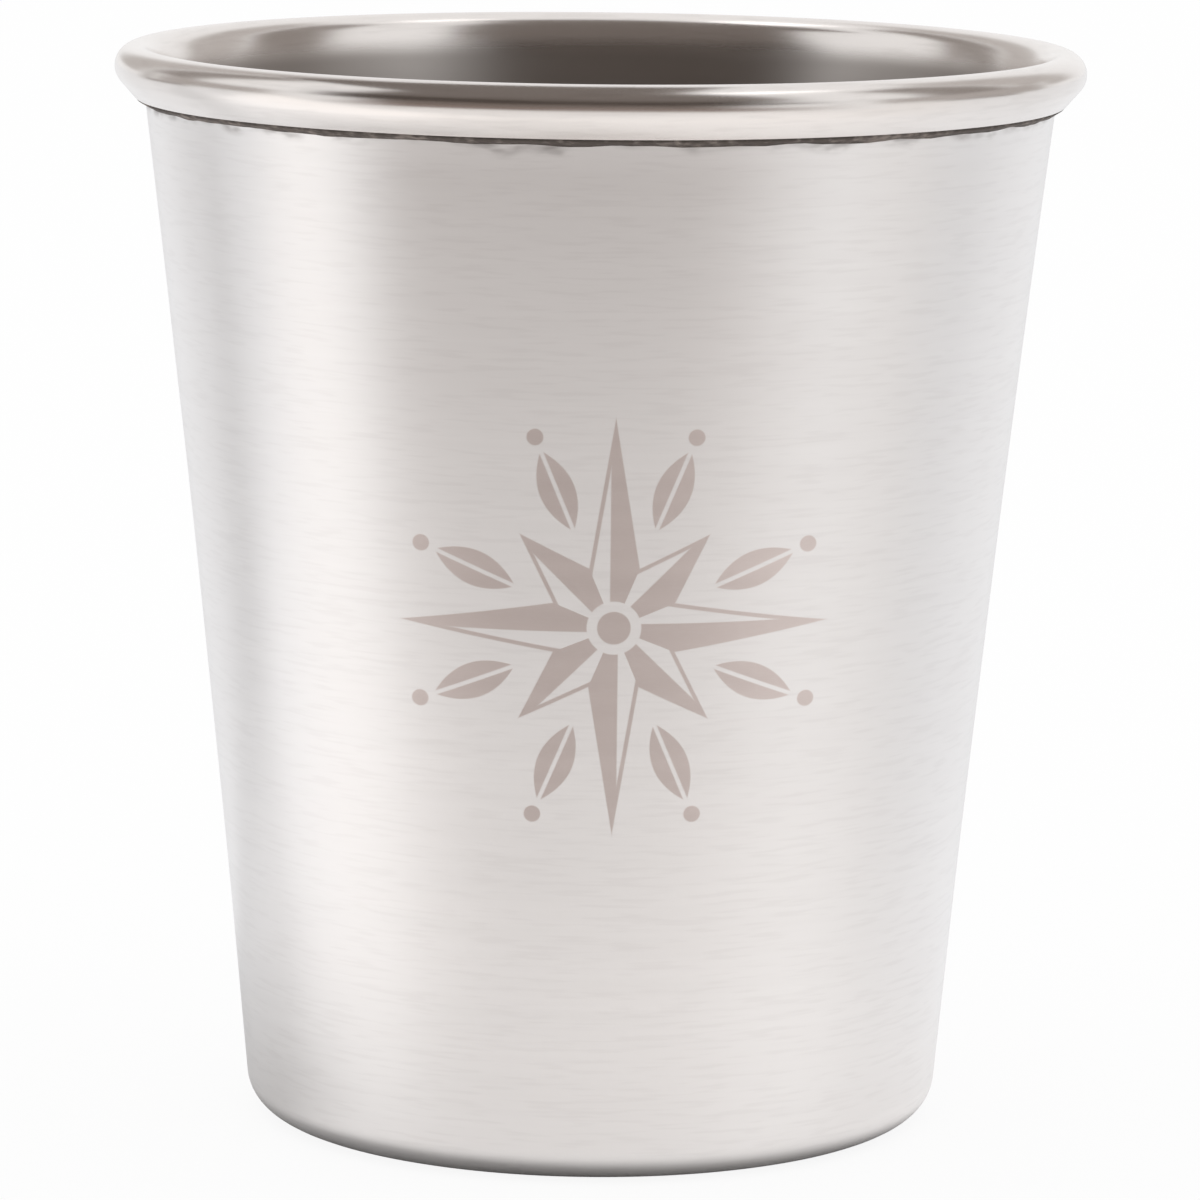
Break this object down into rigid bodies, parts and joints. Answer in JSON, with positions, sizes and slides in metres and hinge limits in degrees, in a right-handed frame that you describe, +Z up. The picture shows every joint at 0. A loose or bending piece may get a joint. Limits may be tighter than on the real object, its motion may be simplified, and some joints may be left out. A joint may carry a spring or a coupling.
{
  "type": "shot cup",
  "caption": "Small tapered double-wall stainless steel shot cup with a rolled lip, a brushed outer shell and a flat standing ring.",
  "frame": {"origin": "on the table, at the centre of the standing ring", "axes": "+Z up along the cup's axis, -Y towards the etched side of the wall, +X to the right of it"},
  "size_m": [0.0484, 0.0484, 0.054],
  "materials": {
    "brushed_shell": "satin, brushed round the axis",
    "pressed_plate": "plain pressed",
    "polished_liner": "drawn and polished",
    "sealing_compound": "dull, smeared"
  },
  "bodies": {
    "root": {"outer_shell": "brushed_shell", "base_plate": "pressed_plate", "inner_cup": "polished_liner", "lip_seal": "sealing_compound"}
  },
  "joints": []
}
